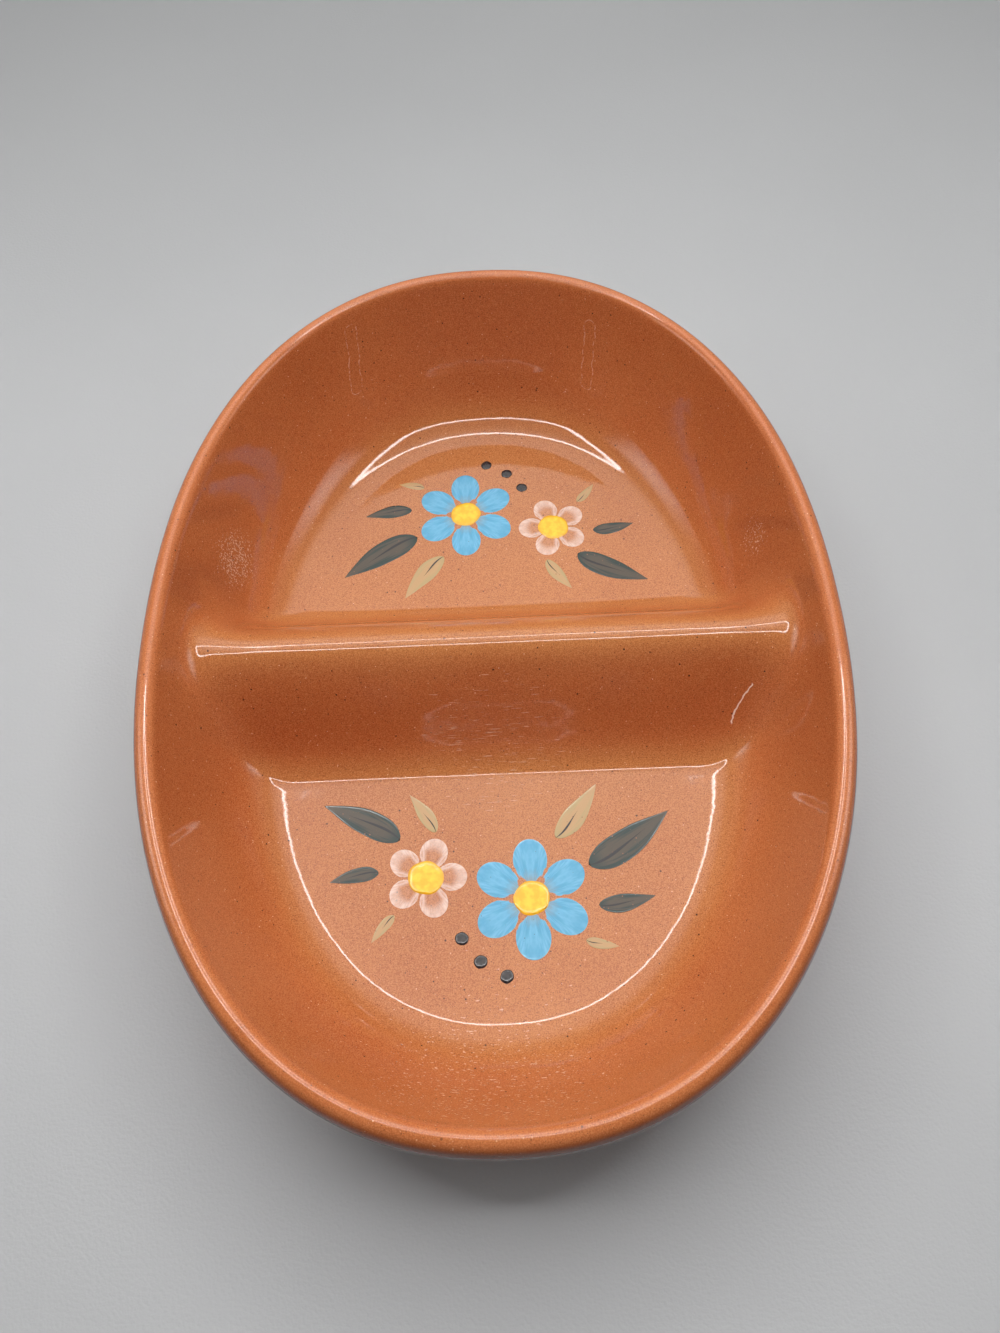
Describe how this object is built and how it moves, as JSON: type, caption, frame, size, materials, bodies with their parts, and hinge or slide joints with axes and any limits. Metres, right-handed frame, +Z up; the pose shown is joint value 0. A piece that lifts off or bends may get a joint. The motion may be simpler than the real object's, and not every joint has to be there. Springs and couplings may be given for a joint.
{
  "type": "divided serving bowl",
  "caption": "Oval serving bowl in glazed red earthenware, with a rounded lip, a low foot ring, a moulded ridge that parts it into two compartments, and a painted flower spray on each floor.",
  "frame": {"origin": "on the table, under the middle of the bowl, in the plane of the foot ring's underside", "axes": "+Z up out of the bowl, +Y along its length, from the front compartment to the rear one, and +X along the divider"},
  "size_m": [0.216, 0.302, 0.067],
  "materials": {
    "red_clay": "bare fired red earthenware, matt and slightly gritty",
    "clear_glaze": "clear gloss glaze over red clay, with fine dark specks",
    "blue_enamel": "glossy sky blue ceramic enamel, brushed on",
    "white_enamel": "thin white ceramic enamel, with the clay showing through",
    "yellow_enamel": "glossy warm yellow ceramic enamel, dabbed on",
    "dark_green_enamel": "glossy dark green ceramic enamel, brushed on",
    "tan_enamel": "thin olive tan ceramic enamel, brushed on",
    "black_enamel": "glossy brown-black ceramic enamel, dotted on"
  },
  "bodies": {
    "root": {"dish_shell": "red_clay", "divider": "red_clay", "foot_ring": "red_clay", "glaze_coat": "clear_glaze", "front_blossom": "blue_enamel", "front_blossom_eye": "yellow_enamel", "front_white_blossom": "white_enamel", "front_white_blossom_eye": "yellow_enamel", "front_outer_leaf_1": "tan_enamel", "front_outer_leaf_2": "dark_green_enamel", "front_outer_leaf_3": "dark_green_enamel", "front_outer_leaf_4": "tan_enamel", "front_inner_leaf_1": "tan_enamel", "front_inner_leaf_2": "dark_green_enamel", "front_inner_leaf_3": "dark_green_enamel", "front_inner_leaf_4": "tan_enamel", "front_berry_1": "black_enamel", "front_berry_2": "black_enamel", "front_berry_3": "black_enamel", "rear_blossom": "blue_enamel", "rear_blossom_eye": "yellow_enamel", "rear_white_blossom": "white_enamel", "rear_white_blossom_eye": "yellow_enamel", "rear_outer_leaf_1": "tan_enamel", "rear_outer_leaf_2": "dark_green_enamel", "rear_outer_leaf_3": "dark_green_enamel", "rear_outer_leaf_4": "tan_enamel", "rear_inner_leaf_1": "tan_enamel", "rear_inner_leaf_2": "dark_green_enamel", "rear_inner_leaf_3": "dark_green_enamel", "rear_inner_leaf_4": "tan_enamel", "rear_berry_1": "black_enamel", "rear_berry_2": "black_enamel", "rear_berry_3": "black_enamel"}
  },
  "joints": []
}
